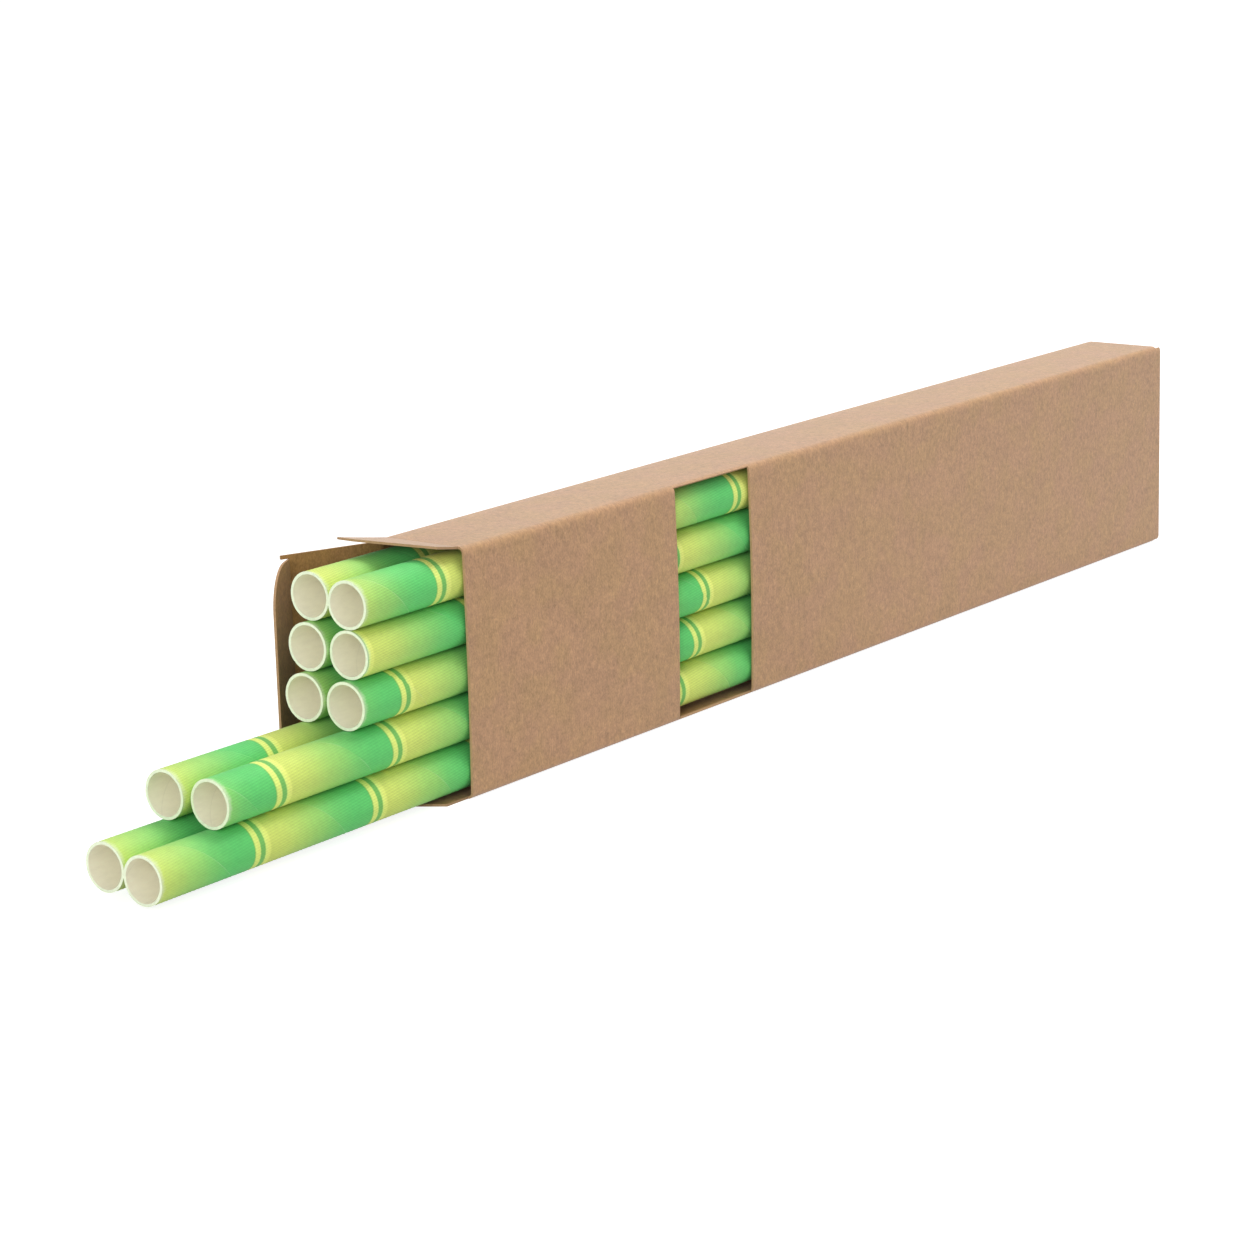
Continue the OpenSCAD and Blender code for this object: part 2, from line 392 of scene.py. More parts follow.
class BentPath:
    """Outer face of a bent sheet in a plane: straights, and bends that all turn towards its inner side."""

    def __init__(self, start, heading, inner_side, radius, pieces):
        self.inner_side = inner_side
        self.radius = radius
        self.legs = []
        self.marks = [0.0]
        place, angle = Vector(start), heading
        for kind, size in pieces:
            run = size * radius if kind == "bend" else size
            self.legs.append((kind, place.copy(), angle, self.marks[-1]))
            place, angle = self._follow(kind, place, angle, run)
            self.marks.append(self.marks[-1] + run)

    def _inner(self, angle):
        return Vector((-math.sin(angle), math.cos(angle))) * self.inner_side

    def _follow(self, kind, place, angle, run):
        if kind == "straight":
            return place + Vector((math.cos(angle), math.sin(angle))) * run, angle
        centre = place + self._inner(angle) * self.radius
        turned = angle + self.inner_side * run / self.radius
        return centre - self._inner(turned) * self.radius, turned

    def at(self, distance, depth):
        """Point at a distance along the outer face, moved inwards by a depth."""
        leg = self.legs[0]
        for candidate in self.legs[1:]:
            if distance >= candidate[3]:
                leg = candidate
        place, angle = self._follow(leg[0], leg[1], leg[2], distance - leg[3])
        return place + self._inner(angle) * depth


class CardSheet:
    """A card sheet laid out flat in rows of points, then folded, with both faces and its cut edges."""

    def __init__(self):
        self.numbers = {}
        self.outer, self.inner, self.creases, self.cells = [], [], [], []

    def _corner(self, fold, crease, point):
        key = (round(point[0] * 1e6), round(point[1] * 1e6))
        if key not in self.numbers:
            self.numbers[key] = len(self.outer)
            self.outer.append(fold(*point, 0.0))
            self.inner.append(fold(*point, CARD))
            self.creases.append(crease(*point))
        return self.numbers[key]

    def patch(self, fold, rows, crease=lambda u, v: 0.0):
        """Adds the cells between neighbouring rows, each row a list of flat points."""
        for near, far in zip(rows, rows[1:]):
            for i in range(len(near) - 1):
                flat = (near[i], far[i], far[i + 1], near[i + 1])
                self.cells.append([self._corner(fold, crease, point) for point in flat])

    def build(self, name, materials, shape=lambda point: point):
        """The folded sheet as one closed mesh object, with its fold wear and painted fold highlight kept on
        its points.
        """
        count = len(self.outer)
        vertices = [tuple(shape(Vector(p))) for p in self.outer + self.inner]
        faces, kinds, edges = [], [], set()
        for cell in self.cells:
            faces += [cell, [i + count for i in reversed(cell)]]
            kinds += [0, 1]
            edges.update(zip(cell, cell[1:] + cell[:1]))
        for a, b in sorted(edges):
            if (b, a) not in edges:
                faces.append([b, a, a + count, b + count])
                kinds.append(2)
        mesh = bpy.data.meshes.new(name)
        mesh.from_pydata(vertices, [], faces)
        for material in materials:
            mesh.materials.append(material)
        mesh.polygons.foreach_set("material_index", kinds)
        mesh.attributes.new("crease", "FLOAT", "POINT").data.foreach_set("value", self.creases * 2)
        finish_mesh(mesh)
        return add_object(name, mesh)


def finish_mesh(mesh):
    """Merges doubles, smooths the faces and keeps the real edges sharp."""
    shape = bmesh.new()
    shape.from_mesh(mesh)
    bmesh.ops.remove_doubles(shape, verts=shape.verts, dist=1e-7)
    bmesh.ops.dissolve_degenerate(shape, edges=shape.edges, dist=1e-8)
    shape.to_mesh(mesh)
    shape.free()
    mesh.polygons.foreach_set("use_smooth", [True] * len(mesh.polygons))
    mesh.set_sharp_from_angle(angle=math.radians(35))


def steps(start, end, count):
    """Evenly spaced numbers from start to end, both included."""
    return [start + (end - start) * i / count for i in range(count + 1)]


def joined(*runs):
    """Runs of numbers joined into one rising list without doubles."""
    numbers = sorted({round(v, 9) for run in runs for v in run})
    return [v for i, v in enumerate(numbers) if i == 0 or v - numbers[i - 1] > 1e-8]


def between(numbers, low, high):
    """The numbers that lie from low to high."""
    return [v for v in numbers if low - 1e-8 <= v <= high + 1e-8]


def near_bend(value, start, end, fade):
    """1 inside a bend, fading to 0 beside it."""
    return max(0.0, 1.0 - max(start - value, value - end, 0.0) / fade)


def held(value):
    """A number kept from 0 to 1."""
    return min(max(value, 0.0), 1.0)


def lengthwise(rows_at, columns):
    """Rows of flat points: one row for each place along the carton or out along a flap."""
    return [[(u, v) for u in columns] for v in rows_at]


def drawn_in(columns, inset):
    """The same columns, drawn in by an inset at both sides."""
    low, high = columns[0] + inset, columns[-1] - inset
    scale = (high - low) / (columns[-1] - columns[0])
    return [low + (u - columns[0]) * scale for u in columns]


def dust_runs(card, near_fold, slant_rows):
    """Distances from a dust flap's fold to its rows, each with how far its slanting side has drawn in."""
    tip_inset = WIDTH - 2 * DUST_INSET - card.dust_tip
    slant = DUST_LENGTH - card.dust_front
    slanting = [(card.dust_front + slant * f, tip_inset * f) for f in steps(0.0, 1.0, slant_rows)[1:]]
    return [(run, 0.0) for run in near_fold] + slanting


def corner_inset(card, out):
    """How far the tab's rounded corners draw in at a distance from its fold."""
    past = max(0.0, out - (card.tab_length - card.tab_radius))
    return card.tab_radius - math.sqrt(max(0.0, card.tab_radius ** 2 - past ** 2))


def tab_runs(card):
    """Distances from the tab's fold to its rows, closer together round the corners."""
    straight = card.tab_length - card.tab_radius
    round_part = [straight + card.tab_radius * math.sin(QUARTER * f) for f in steps(0.0, 1.0, 10)]
    return joined(steps(0.0, straight, 2), round_part)


def closing_rows(card, closing, columns, start):
    """Rows of the closed end's panel and of the tab tucked in behind the front panel."""
    tab_start = closing.marks[3]
    runs = joined(*(steps(near, far, 6) for near, far in zip(closing.marks[:3], closing.marks[1:4])))
    rows = []
    for run in runs:
        inset = card.tab_inset * near_bend(run, tab_start, math.inf, tab_start - closing.marks[2])
        rows.append([(u, start + run) for u in drawn_in(columns, inset)])
    for out in tab_runs(card)[1:]:
        inset = card.tab_inset + corner_inset(card, out)
        rows.append([(u, start + tab_start + out) for u in drawn_in(columns, inset)])
    return rows


def bowed(card):
    """Card never stays quite flat: the free front panel and the top panel bow a little."""
    def shape(point):
        along = (point.x - MOUTH_X) / LENGTH
        height = held(point.z / TOP_Z)
        across = held((point.y - FRONT_Y) / WIDTH)
        swell = 0.55 + 0.45 * math.sin(math.pi * held(along) * 1.6 + 0.3)
        free_of_end = 1.0 - max(0.0, along) ** 6
        point.y -= card.front_bow * swell * free_of_end * math.sin(math.pi * height) * (1.0 - across)
        middle = math.sin(math.pi * held(along))
        point.z += card.top_bow * middle * math.sin(math.pi * across) * height
        return point

    return shape


def fold_carton(card, materials):
    """The carton in one sheet: sleeve, glued seam, window, closed end and the root of the open tuck flap."""
    radius = card.fold_radius
    dust_x = LENGTH - CARD - card.end_gap - radius
    back_end = LENGTH - radius
    tab_y = CARD + card.end_gap
    bend = ("bend", QUARTER)
    sleeve = BentPath((BACK_Y - CARD / 2, 0.0), math.pi, -1, radius, [
        ("straight", WIDTH - CARD / 2 - radius), bend, ("straight", TOP_Z - 2 * radius),
        bend, ("straight", WIDTH - 2 * radius), bend,
        ("straight", TOP_Z - 2 * radius - CARD), bend, ("straight", card.seam_width)])
    closing = BentPath((CLOSED_X - radius, BACK_Y), 0.0, -1, radius, [
        bend, ("straight", WIDTH - 2 * radius - tab_y), bend, ("straight", card.tab_length)])
    dust_pieces = [bend, ("straight", DUST_LENGTH)]
    top_dust = BentPath((MOUTH_X + dust_x, TOP_Z), 0.0, -1, radius, dust_pieces)
    bottom_dust = BentPath((MOUTH_X + dust_x, 0.0), 0.0, 1, radius, dust_pieces)
    bends = list(zip(sleeve.marks[1:8:2], sleeve.marks[2:9:2]))
    (bottom_end, front_start), (front_end, top_start), (top_end, back_start), (back_stop, seam_start) = bends

    def in_sleeve(u, v, depth):
        y, z = sleeve.at(u, depth)
        return MOUTH_X + v, y, z

    def in_root(u, v, depth):
        """The open tuck flap's root flattens from the corners' curve to the flap's plane."""
        flat = Vector((MOUTH_X + v, BACK_Y - depth, sleeve.at(u, 0.0)[1]))
        return Vector(in_sleeve(u, v, depth)).lerp(flat, min(1.0, v / (BACK_END_X - MOUTH_X)))

    def in_closing(u, v, depth):
        x, y = closing.at(v - back_end, depth)
        return x, y, sleeve.at(u, 0.0)[1]

    def in_dust(path):
        def fold(u, v, depth):
            x, z = path.at(v - dust_x, depth)
            return x, sleeve.at(u, 0.0)[0], z
        return fold

    # Pale band at the folds, the mouth and the flaps' roots: partly wear, partly a painted highlight
    def crease(u, v):
        along = max(near_bend(u, start, end, WEAR_AND_HIGHLIGHT_FADE) for start, end in bends)
        if bottom_end <= u <= top_start:
            return along
        return max(along, near_bend(v, -math.inf, MOUTH_WEAR_AND_HIGHLIGHT, MOUTH_WEAR_AND_HIGHLIGHT_FADE),
                   near_bend(v, dust_x, math.inf, FLAP_WEAR_AND_HIGHLIGHT_FADE))

    # Pale band at the closed end's folds: partly wear, partly a painted highlight
    def closing_crease(u, v):
        run = v - back_end
        return max(near_bend(run, 0.0, closing.marks[1], WEAR_AND_HIGHLIGHT_FADE),
                   near_bend(run, closing.marks[2], closing.marks[3], WEAR_AND_HIGHLIGHT_FADE))

    # Columns round the girth
    middle_low = (bottom_end + front_start) / 2
    middle_high = (front_end + top_start) / 2
    bottom_flap = steps(DUST_INSET - CARD / 2, bottom_end - (DUST_INSET - radius), 8)
    top_flap = steps(top_start + DUST_INSET - radius, top_end - (DUST_INSET - radius), 8)
    corner_run = radius * math.asin(1.0 - card.tuck_inset / radius)
    flap_ends = [back_start - corner_run, back_stop + corner_run]
    front_panel = joined([front_start, front_start + WEAR_AND_HIGHLIGHT_FADE, front_end - WEAR_AND_HIGHLIGHT_FADE, front_end],
                         steps(front_start + 2 * WEAR_AND_HIGHLIGHT_FADE, front_end - 2 * WEAR_AND_HIGHLIGHT_FADE, 18))
    columns = joined([0.0], bottom_flap, front_panel, top_flap, flap_ends, steps(back_start, back_stop, 18),
                     *(steps(start, end, 6) for start, end in bends))
    back_flap = between(columns, *flap_ends)
    front = between(columns, middle_low, middle_high)

    # Rows along the carton, with the window left out
    window_end = card.window_start + card.window_length
    near_mouth = joined([0.0, 0.4 * MM, 1.0 * MM, 2.0 * MM], steps(4 * MM, card.window_start, 16))
    beside_window = steps(card.window_start, window_end, 10)
    past_window = joined(steps(window_end, dust_x - 1.0 * MM, 38), [dust_x - 0.4 * MM, dust_x])
    sheet = CardSheet()
    sheet.patch(in_sleeve, lengthwise(near_mouth, columns), crease)
    sheet.patch(in_sleeve, lengthwise(beside_window, between(columns, 0.0, middle_low)), crease)
    sheet.patch(in_sleeve, lengthwise(beside_window, between(columns, middle_high, columns[-1])), crease)
    sheet.patch(in_sleeve, lengthwise(past_window, columns), crease)

    # Glued seam with tapered ends
    seam = []
    for v in joined(near_mouth, beside_window, past_window):
        tapers = [(q, card.seam_taper * q / card.seam_width) for q in steps(0.0, card.seam_width, 5)]
        seam.append([(seam_start + q, taper + v * (1 - 2 * taper / dust_x)) for q, taper in tapers])
    sheet.patch(in_sleeve, seam, crease)

    # Ends of the front and back panels, and the root of the open tuck flap
    sheet.patch(in_sleeve, lengthwise(steps(dust_x, LENGTH, 2), front))
    sheet.patch(in_sleeve, lengthwise(steps(dust_x, back_end, 1), back_flap), crease)
    sheet.patch(in_root, lengthwise(steps(BACK_END_X - MOUTH_X, 0.0, 2), back_flap), crease)

    # Dust flaps of the closed end, the slanting side of each towards the front panel
    turning = steps(0.0, QUARTER * radius, 6)[:-1]
    straight = steps(0.0, card.dust_front, 3)
    for path, low_share, high_share, flap in ((bottom_dust, 0, 1, bottom_flap), (top_dust, 1, 0, top_flap)):
        runs = [(run, 0.0) for run in turning]
        runs += [(QUARTER * radius + run, inset) for run, inset in dust_runs(card, straight, 6)]
        rows = []
        for run, inset in runs:
            across = steps(flap[0] + inset * low_share, flap[-1] - inset * high_share, 8)
            rows.append([(u, dust_x + run) for u in across])
        sheet.patch(in_dust(path), rows, crease)

    sheet.patch(in_closing, closing_rows(card, closing, back_flap, back_end), closing_crease)
    return sheet.build("folded_carton", materials, bowed(card))


def heel_turns(turn, count):
    """Runs before a flap's fold, on which its card's end turns about the hinge."""
    return [-CARD * angle for angle in steps(turn, 0.0, count)[:-1]]


def flap_crease(along, run):
    """Wear and painted highlight of a flap beside its fold."""
    return near_bend(run, -math.inf, MOUTH_WEAR_AND_HIGHLIGHT, FLAP_WEAR_AND_HIGHLIGHT_FADE)


def flap_fold(hinge, out, inward, spread, curl=0.0, reach=1.0, round_heel=False):
    """Places a flap's flat points: along its fold, outwards, and inwards by a depth. Points before the fold
    turn about the hinge, so that the card's crease stays closed as the flap swings."""
    def fold(along, run, depth):
        if run >= 0:
            point = hinge + out * run + inward * (depth + curl * (run / reach) ** 2)
            if round_heel:
                point -= inward * CARD / 2
            return spread(point, along)
        turned = -run / CARD
        if round_heel:
            face = 1 if depth > CARD / 2 else -1
            side = inward * math.cos(turned) * face - out * math.sin(turned)
            return spread(hinge + side * CARD / 2, along)
        return spread(hinge + (inward * math.cos(turned) - out * math.sin(turned)) * depth, along)

    return fold


def fold_dust_flaps(card, materials):
    """The mouth's dust flaps: the top one stands up a little, the bottom one lies on the table."""
    rise = math.asin((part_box("top_dust_flap")[1][2] - TOP_Z) / DUST_LENGTH)
    near_fold = joined([0.0, 0.4 * MM, 1.0 * MM], steps(2 * MM, card.dust_front, 2))
    runs = [(run, 0.0) for run in heel_turns(math.radians(100), 6)] + dust_runs(card, near_fold, 8)
    flaps = (("top_dust", rise, -1, -0.6 * card.flap_curl), ("bottom_dust", 0.0, 1, 0.0))
    made = []
    for name, angle, inner_z, curl in flaps:
        out = Vector((-math.cos(angle), 0.0, math.sin(angle)))
        inward = Vector((math.sin(angle) * inner_z, 0.0, math.cos(angle) * inner_z))
        fold = flap_fold(HINGES[name + "_fold"], out, inward,
                         lambda point, along: Vector((point.x, FRONT_Y + along, point.z)), curl, DUST_LENGTH)
        rows = [[(y, run) for y in steps(DUST_INSET + inset, WIDTH - DUST_INSET, 10)][::inner_z]
                for run, inset in runs]
        sheet = CardSheet()
        sheet.patch(fold, rows, flap_crease)
        made.append((sheet.build(name + "_flap_card", materials), name + "_flap"))
    return made


def upright(point, along):
    """The tuck flap's folds stand up, so a place along them is a height."""
    return Vector((point.x, point.y, along))


def fold_tuck_flap(card, materials):
    """The closing panel, open beside the straws, with a lock ear beside each end of its tab."""
    low_z, high_z = (corner[2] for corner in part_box("tuck_flap"))
    to_tab = HINGES["tuck_tab_fold"] - HINGES["tuck_flap_fold"]
    opening = math.atan2(to_tab.y, -to_tab.x) + math.asin(CARD / 2 / to_tab.length)
    out = Vector((-math.cos(opening), math.sin(opening), 0.0))
    inward = Vector((-math.sin(opening), -math.cos(opening), 0.0))
    reach = to_tab.dot(out) - 0.05 * MM
    ear_width = card.tab_inset - 0.1 * MM
    fold = flap_fold(HINGES["tuck_flap_fold"], out, inward, upright)
    heights = joined(steps(low_z, high_z, 20), [low_z + ear_width, high_z - ear_width])[::-1]
    runs = joined(heel_turns(math.radians(100), 6), [0.0, 0.4 * MM, 1.0 * MM],
                  steps(2 * MM, reach - 1.0 * MM, 7), [reach - 0.4 * MM, reach])

    # Pale band at the flap's root and at the tab's fold: partly wear, partly a painted highlight
    def crease(along, run):
        return max(flap_crease(along, run), near_bend(run, reach, reach, FLAP_WEAR_AND_HIGHLIGHT_FADE))

    sheet = CardSheet()
    sheet.patch(fold, lengthwise(runs, heights), crease)
    for ear in (heights[:2], heights[-2:]):
        sheet.patch(fold, lengthwise(steps(reach, to_tab.dot(out) + card.ear_length, 3), ear), crease)
    return sheet.build("tuck_flap_card", materials), "tuck_flap"


def fold_tuck_tab(card, materials):
    """The tab of the open closing panel, bent back towards the straws."""
    low_z, high_z = (corner[2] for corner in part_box("tuck_flap"))
    hinge = HINGES["tuck_tab_fold"]
    tip_share = (hinge.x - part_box("tuck_tab")[0][0]) / math.hypot(card.tab_length, CARD / 2)
    bend = math.acos(min(1.0, tip_share)) + math.atan(CARD / 2 / card.tab_length)
    out = Vector((-math.cos(bend), -math.sin(bend), 0.0))
    inward = Vector((math.sin(bend), -math.cos(bend), 0.0))
    fold = flap_fold(hinge, out, inward, upright, card.flap_curl, card.tab_length, round_heel=True)
    rows = []
    for run in joined(heel_turns(QUARTER, 4), [0.0, 0.5 * MM, 1.0 * MM], tab_runs(card)):
        inset = card.tab_inset + corner_inset(card, run)
        rows.append([(z, run) for z in steps(high_z - inset, low_z + inset, 20)])
    sheet = CardSheet()
    sheet.patch(fold, rows, flap_crease)
    return sheet.build("tuck_tab_card", materials), "tuck_tab"


# Share of shoot green in the shading, at places past a printed node in millimetres
SHADES = ((0.0, 1.0), (3.0, 0.95), (5.7, 0.86), (7.0, 0.78), (9.7, 0.60), (11.7, 0.45), (13.3, 0.37),
          (15.7, 0.215), (17.7, 0.10), (19.5, 0.045), (21.8, 0.0), (27.0, 0.0))


def straw_coordinates(tree):
    """A straw's turn from its seam, and its place along it in printed nodes."""
    uv = add_node(tree, "ShaderNodeUVMap", uv_map="UVMap").outputs[0]
    turn, along, _ = add_node(tree, "ShaderNodeSeparateXYZ", {0: uv}).outputs
    return Number(turn), Number(along)


def printed_paper(straws, colours):
    """Printed outer strip: green shading along each segment, a ring at each node, fine ribs and the seam."""
    material, tree, shader, place = new_material("printed paper", 0.6, 0.22, 0.05)
    pitch = straws.ring_pitch
    turn, along = straw_coordinates(tree)
    pulp = noise(place, 900.0, 4.0, 0.7)
    clouds = noise(place, 160.0, 3.0, 0.6)
    patches = noise(place, 90.0)

    def phase(slip, wander=0.0):
        """Place between two nodes, from 0 to 1; the print slips along the straw from edge to edge."""
        place_in_nodes = (turn - 0.5) * (slip / pitch) + along
        if wander:
            place_in_nodes = place_in_nodes + swing(clouds, -wander / pitch, wander / pitch)
        return maths("FRACT", place_in_nodes)

    def past_node(millimetres):
        return millimetres * MM / pitch

    leaf, shoot = Vector(colours.leaf), Vector(colours.shoot)
    shading = ramp(tree, phase(straws.shade_slip, 0.5 * MM),
                   [(past_node(mm), (*leaf.lerp(shoot, mix), 1.0)) for mm, mix in SHADES])

    # The ring at a node: colour and cover at places past the node, and before the next one
    yellow, green = tuple(colours.node_yellow), tuple(colours.node_green)
    warm, brown = tinted(yellow, (1.04, 0.95, 0.92)), tinted(green, (1.25, 0.95, 0.8))
    end = pitch / MM
    stripes = (
        (0.0, green, 1), (0.9, green, 1), (1.05, yellow, 1), (1.6, warm, 1), (2.0, warm, 1), (2.4, shoot, 0),
        (end - 1.5, brown, 0), (end - 1.35, brown, 0.7), (end - 1.15, yellow, 1), (end - 0.5, warm, 1),
        (end - 0.15, yellow, 1), (end - 0.02, green, 1))
    rings = ramp(tree, phase(straws.ring_slip),
                 [(past_node(mm), (*tint, cover)) for mm, tint, cover in stripes])
    ink = blend_colours(tree, Number(rings["Alpha"]), shading["Color"], rings["Color"])

    # Fine ribs, nearly along the straw, broken by slanting lines into a woven screen
    girth = math.pi * straws.diameter
    metres = along * pitch
    round_metres = (metres * (1.0 / straws.seam_pitch) + turn) * girth

    def lines(degrees, spacing):
        """Waves from -1 to 1 across lines that run at an angle to the straw."""
        angle = math.radians(degrees)
        across = round_metres * (math.cos(angle) * TURN / spacing)
        return maths("SINE", metres * (math.sin(angle) * TURN / spacing) + across)

    screen = lines(7, straws.rib_pitch) * (lines(58, 1.5 * straws.rib_pitch) * 0.4 + 0.6)
    dots = screen * remap(patches, 0.35, 0.65, 0.07, 0.13)
    ink = toned(tree, ink, dots + swing(pulp, 0.95, 1.05) + swing(clouds, -0.03, 0.03))

    # Bare paper shows a little along the joint between two turns, and where the knife crushed the ends
    to_joint = maths("MINIMUM", turn, 1.0 - turn)
    bare = remap(to_joint, 0.0, 0.7 * straws.seam_width / girth, 0.22, 0.0)
    bare = bare * remap(noise(place, 330.0), 0.42, 0.62, 0.05, 1.0)
    ragged = attribute(tree, "to_end") + swing(pulp, -0.25 * MM, 0.25 * MM)
    crushed = remap(ragged, 0.0, 0.9 * MM, 0.6, 0.0)
    ink = blend_colours(tree, maths("MAXIMUM", bare, crushed), ink, tuple(colours.cut_paper))
    connect(ink, shader.inputs["Base Color"])
    bump(shader, screen * 0.5 + pulp * 1.2, 0.02 * MM, 0.7)
    return material


def bare_paper(name, base, grain, seam_pitch=None, ring_pitch=None):
    """Unprinted paper of the bore and the cut ends; the bore shows the joint of its own strip."""
    material, tree, shader, place = new_material(name, 0.75, 0.2)
    pulp = noise(place, (500.0, 1500.0, 1500.0), 4.0, 0.7)
    tone = swing(pulp, 1.0 - grain, 1.0 + grain * 0.5)
    if seam_pitch:
        turn, along = straw_coordinates(tree)
        wound = maths("FRACT", along * (-ring_pitch / seam_pitch) + turn)
        tone = tone + remap(wound, 0.0, 0.02, -0.07, 0.0)
    connect(toned(tree, base, tone), shader.inputs["Base Color"])
    bump(shader, pulp + tone, 0.03 * MM, 0.6)
    return material


# A straw's named inputs. The shared ones have the same values on every straw
SHARED_SIZES = ("Diameter", "Wall", "Seam pitch", "Seam depth", "Seam width", "Cut roughness",
                "Fibre length")
SHARED_COUNTS = ("Columns", "Rows", "Bore rows")
OWN_SIZES = ("Slope", "Length", "Seam turn", "Ring pitch", "First ring", "Ring lean")
PAPERS = ("Printed paper", "Inner paper", "Cut paper")
STRAW_INPUTS = {
    "NodeSocketVector": ("Start",),
    "NodeSocketFloat": SHARED_SIZES + OWN_SIZES,
    "NodeSocketInt": (*SHARED_COUNTS, "Seed"),
    "NodeSocketMaterial": PAPERS,
}


def straw_tree():
    """Geometry nodes that roll one straw: a grid wound into a tube with a bore and fibres at its ends."""
    tree = bpy.data.node_groups.new("Wound paper straw", "GeometryNodeTree")
    for kind, names in STRAW_INPUTS.items():
        for name in names:
            tree.interface.new_socket(name=name, in_out="INPUT", socket_type=kind)
    tree.interface.new_socket(name="Straw", in_out="OUTPUT", socket_type="NodeSocketGeometry")
    inputs = tree.nodes.new("NodeGroupInput").outputs

    def given(name):
        return Number(inputs[name])

    # Flat grid: one side runs round the straw, the other out along it and back through the bore
    total = given("Rows") + given("Bore rows") + 2
    grid = add_node(tree, "GeometryNodeMeshGrid", {
        "Size X": 1.0, "Size Y": 1.0, "Vertices X": given("Columns") + 1, "Vertices Y": total + 1})
    position = add_node(tree, "GeometryNodeInputPosition").outputs[0]
    flat_x, flat_y, _ = map(Number, add_node(tree, "ShaderNodeSeparateXYZ", {0: position}).outputs)
    even = flat_x + 0.5
    face_row = (flat_y + 0.5) * total
    row = maths("ROUND", face_row)

    # Columns crowd together at the seam
    turn = maths("SINE", even * TURN) * (-0.8 / TURN) + even

    # Distance from the near end
    bore_part = 1.0 - (row - given("Rows") - 1) / given("Bore rows")
    part = maths("MAXIMUM", maths("MINIMUM", row / given("Rows"), bore_part), 0.0)
    distance = part * given("Length")
    in_bore = maths("GREATER_THAN", row, given("Rows") + 0.5) * maths("LESS_THAN", row, total - 0.5)

    # The outer wall is wound with the strip; the bore turns only as far as needed to meet both ends
    outer_turns = distance / given("Seam pitch")
    bore_turns = maths("FRACT", given("Length") / given("Seam pitch")) * part
    wound = outer_turns + (bore_turns - outer_turns) * in_bore + turn
    angle = (wound + given("Seam turn")) * TURN

    # Radius, with the joint between two turns of the strip pressed in on one side and lifted on the other
    outer = given("Diameter") * 0.5
    from_joint = (turn - maths("ROUND", turn)) * (given("Diameter") * math.pi) / given("Seam width")
    from_lip = from_joint - 2.0
    groove = maths("EXPONENT", from_joint * from_joint * -1.0)
    lip = maths("EXPONENT", from_lip * from_lip * -0.5)
    relief = (lip * 0.35 - groove) * given("Seam depth") + outer
    rows_to_rim = maths("MINIMUM", row, maths("ABSOLUTE", row - given("Rows")))
    at_rim = 1.0 - maths("MINIMUM", 1.0, 2.0 * rows_to_rim)
    wall_face = at_rim * (-0.05 * MM) + relief
    radius = wall_face + (outer - given("Wall") - wall_face) * in_bore

    # Straight axis through the start point, and the spoke from it to the wall
    tilt = maths("ARCTANGENT", given("Slope"))
    cos_tilt, sin_tilt = maths("COSINE", tilt), maths("SINE", tilt)
    rise = maths("SINE", angle)
    axis = vector(tree, x=cos_tilt, z=sin_tilt)
    spoke = vector(tree, rise * sin_tilt * -1.0, maths("COSINE", angle), rise * cos_tilt)

    # The knife leaves the ends a little uneven
    wander = add_node(tree, "ShaderNodeTexNoise", {
        "Vector": spoke, "W": given("Seed") * 7.31, "Scale": 3.2, "Detail": 3.0, "Roughness": 0.7},
        noise_dimensions="4D")
    at_ends = remap(part, 0.0, 0.004, 1.0, 0.0) + remap(part, 0.996, 1.0, 0.0, -1.0)
    uneven = (Number(wander.outputs[0]) - 0.35) * 2.0 * at_ends
    along = uneven * given("Cut roughness") + distance
    placed = moved(moved(inputs["Start"], axis, along), spoke, radius)

    # Print coordinates go on the face corners, so that they may jump at the seam
    lean = rise * given("Ring lean")
    ring = (distance - given("First ring") + lean) / given("Ring pitch")
    to_end = maths("MINIMUM", distance, given("Length") - distance)
    kept = (("UVMap", vector(tree, turn, ring), "FLOAT2", "CORNER"), ("row", face_row, "FLOAT", "FACE"),
            ("to_end", to_end, "FLOAT", "POINT"))
    mesh = grid
    for name, value, kind, domain in kept:
        mesh = add_node(tree, "GeometryNodeStoreNamedAttribute", {
            "Geometry": mesh.outputs[0], "Name": name, "Value": value}, data_type=kind, domain=domain)
    mesh = add_node(tree, "GeometryNodeSetPosition", {"Geometry": mesh.outputs[0], "Position": placed})
    mesh = add_node(tree, "GeometryNodeMergeByDistance", {"Geometry": mesh.outputs[0], "Distance": 1e-6})

    # Faces of the outer wall, of the bore and of the two cut rims
    kept_row = add_node(tree, "GeometryNodeInputNamedAttribute", {"Name": "row"}, data_type="FLOAT")
    row = Number(kept_row.outputs[0])
    is_outer = maths("LESS_THAN", row, given("Rows"))
    is_bore = maths("GREATER_THAN", row, given("Rows") + 1.0) * maths("LESS_THAN", row, total - 1.0)
    finish_straw_tree(tree, given, mesh.outputs[0], is_outer, is_bore)
    return tree


